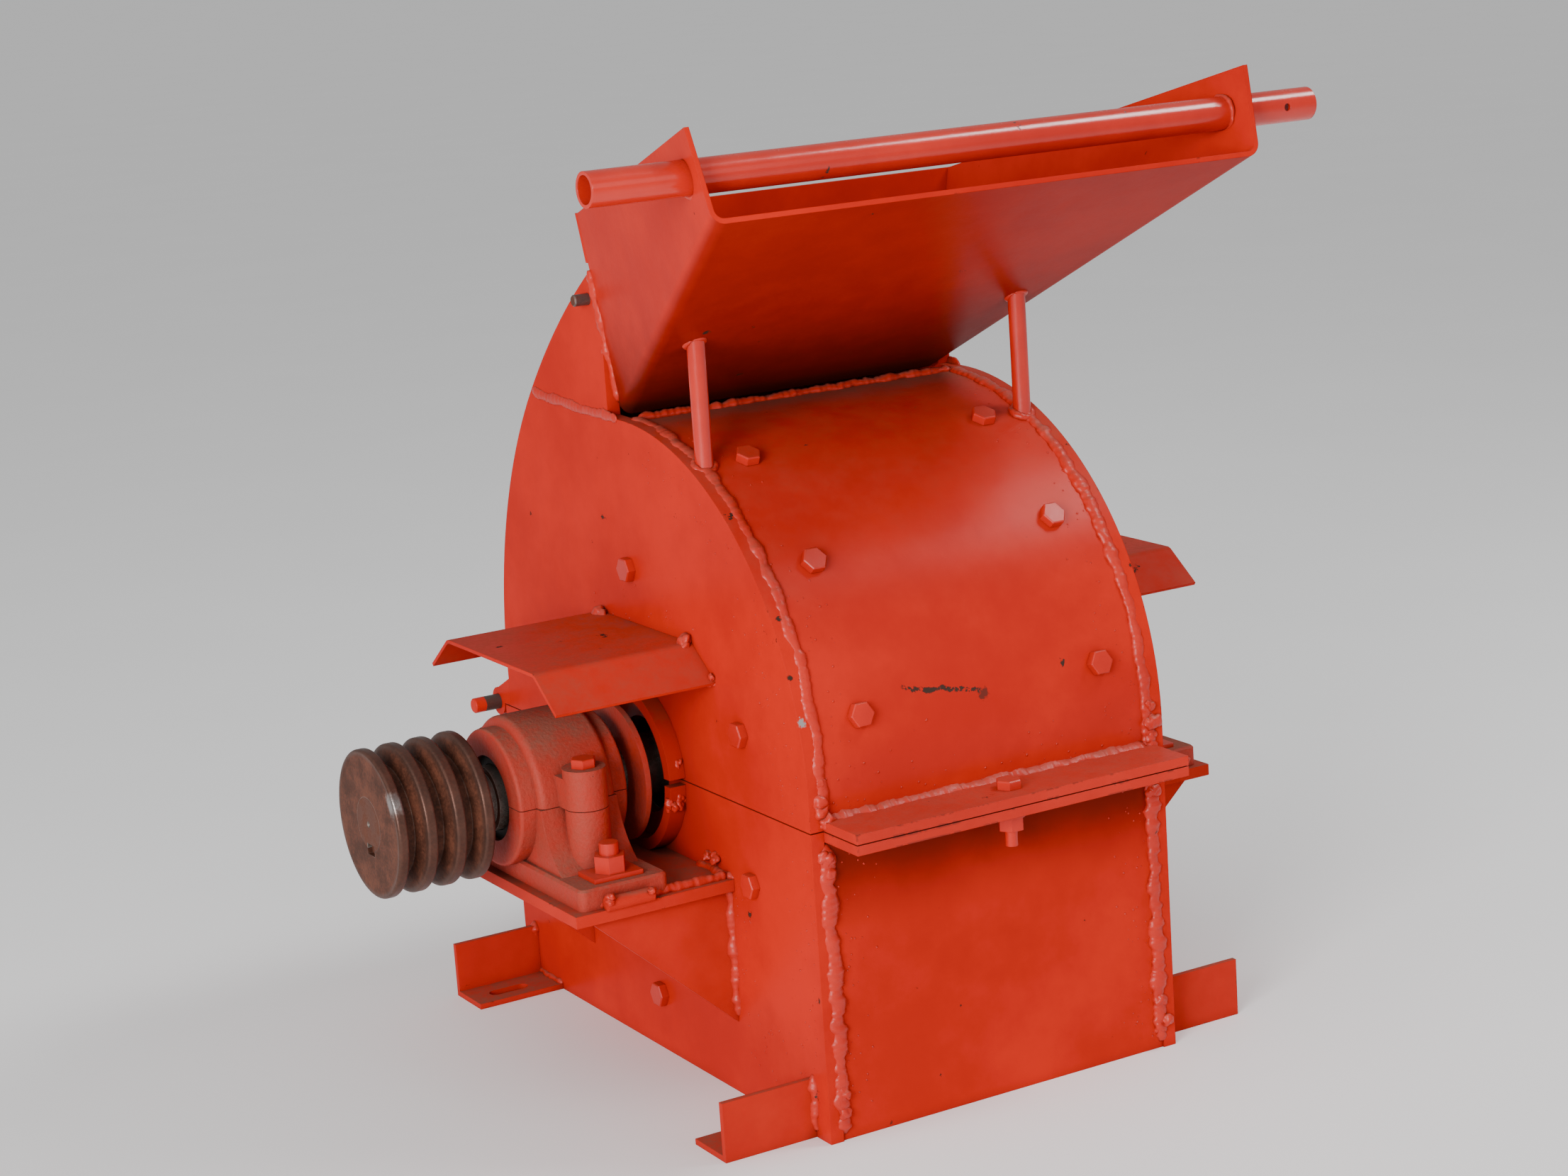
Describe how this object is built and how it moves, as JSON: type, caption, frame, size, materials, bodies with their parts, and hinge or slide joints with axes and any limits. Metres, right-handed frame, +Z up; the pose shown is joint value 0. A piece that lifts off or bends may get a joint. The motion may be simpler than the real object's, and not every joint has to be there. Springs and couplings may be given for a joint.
{
  "type": "wood chipper",
  "caption": "Hammer-mill wood chipper with a split drum housing hinged open at the back, a folded feed chute, swinging hammers and a V-belt pulley.",
  "frame": {"origin": "on the floor, in the middle of the four foot slots, below the middle of the rotor shaft", "axes": "+X along the rotor shaft away from the pulley, -Y to the front with the flange bolt, +Z up"},
  "size_m": [0.77, 0.632, 0.815],
  "materials": {
    "painted_red": "glossy orange-red enamel over rough welded plate, dusty on top faces, chipped at edges",
    "painted_casting": "red enamel over rough sand-cast iron",
    "rusty_iron": "brown rust film with dark polished high spots",
    "bare_steel": "turned steel with light rust",
    "wear_steel": "dark abraded wear plate",
    "dark_pin": "dark oiled steel with traces of red paint",
    "seal_rubber": "matt black"
  },
  "bodies": {
    "base": {"side_plate_lower_left": "painted_red", "side_plate_lower_right": "painted_red", "front_panel": "painted_red", "rear_panel": "painted_red", "lower_flange": "painted_red", "hinge_rail": "painted_red", "hinge_pin": "dark_pin", "flange_nut": "painted_red", "lower_side_liners": "wear_steel", "lower_side_bolts": "painted_red", "screen": "wear_steel", "screen_ledges": "wear_steel", "bracket_left": "painted_red", "bracket_right": "painted_red", "bearing_base_left": "painted_casting", "bearing_base_right": "painted_casting", "bearing_cap_left": "painted_casting", "bearing_cap_right": "painted_casting", "bearing_cap_bolts": "painted_red", "bearing_base_bolts": "painted_red", "bearing_base_nuts": "painted_red", "bearing_outer_rings": "bare_steel", "bearing_seals": "seal_rubber", "lower_collars": "painted_red", "foot_front_left": "painted_red", "foot_front_right": "painted_red", "foot_rear_left": "painted_red", "foot_rear_right": "painted_red"},
    "cover": {"side_plate_upper_left": "painted_red", "side_plate_upper_right": "painted_red", "throat_plates": "painted_red", "front_cover": "painted_red", "front_liner": "wear_steel", "cover_bolts": "painted_red", "upper_side_liners": "wear_steel", "rear_cover": "painted_red", "upper_flange": "painted_red", "flange_bolt": "painted_red", "hinge_eyes": "painted_red", "upper_collars": "painted_red", "feed_chute": "painted_red", "chute_back": "painted_red", "crossbar": "painted_red", "chute_struts": "painted_red", "guard_left": "painted_red", "guard_right": "painted_red", "flap_pin": "dark_pin"},
    "feed_flap": {"feed_flap": "wear_steel"},
    "rotor": {"rotor_shaft": "bare_steel", "pulley_key": "bare_steel", "drive_pulley": "rusty_iron", "bearing_inner_rings": "bare_steel", "flinger_discs": "rusty_iron", "rotor_discs": "rusty_iron", "hammer_pins": "bare_steel", "hammer_sleeves": "bare_steel"},
    "hammers_a": {"hammers_a": "wear_steel"},
    "hammers_b": {"hammers_b": "wear_steel"},
    "hammers_c": {"hammers_c": "wear_steel"},
    "hammers_d": {"hammers_d": "wear_steel"}
  },
  "joints": [
    {"name": "cover_hinge", "type": "hinge", "parent": "base", "child": "cover", "pos_m": [0, 0.289, 0.258], "axis": [-1, 0, 0], "range_deg": [0, 100]},
    {"name": "rotor_spin", "type": "hinge", "parent": "base", "child": "rotor", "pos_m": [0, 0, 0.258], "axis": [1, 0, 0], "continuous": true},
    {"name": "flap_swing", "type": "hinge", "parent": "cover", "child": "feed_flap", "pos_m": [0, 0.038, 0.653], "axis": [1, 0, 0], "range_deg": [-10, 50]},
    {"name": "hammers_a_swing", "type": "hinge", "parent": "rotor", "child": "hammers_a", "pos_m": [0, 0.08909, 0.34709], "axis": [1, 0, 0], "range_deg": [-20, 290]},
    {"name": "hammers_b_swing", "type": "hinge", "parent": "rotor", "child": "hammers_b", "pos_m": [0, -0.08909, 0.34709], "axis": [1, 0, 0], "range_deg": [-290, 20]},
    {"name": "hammers_c_swing", "type": "hinge", "parent": "rotor", "child": "hammers_c", "pos_m": [0, -0.08909, 0.1689], "axis": [1, 0, 0], "range_deg": [-200, 110]},
    {"name": "hammers_d_swing", "type": "hinge", "parent": "rotor", "child": "hammers_d", "pos_m": [0, 0.08909, 0.1689], "axis": [1, 0, 0], "range_deg": [-110, 200]}
  ]
}
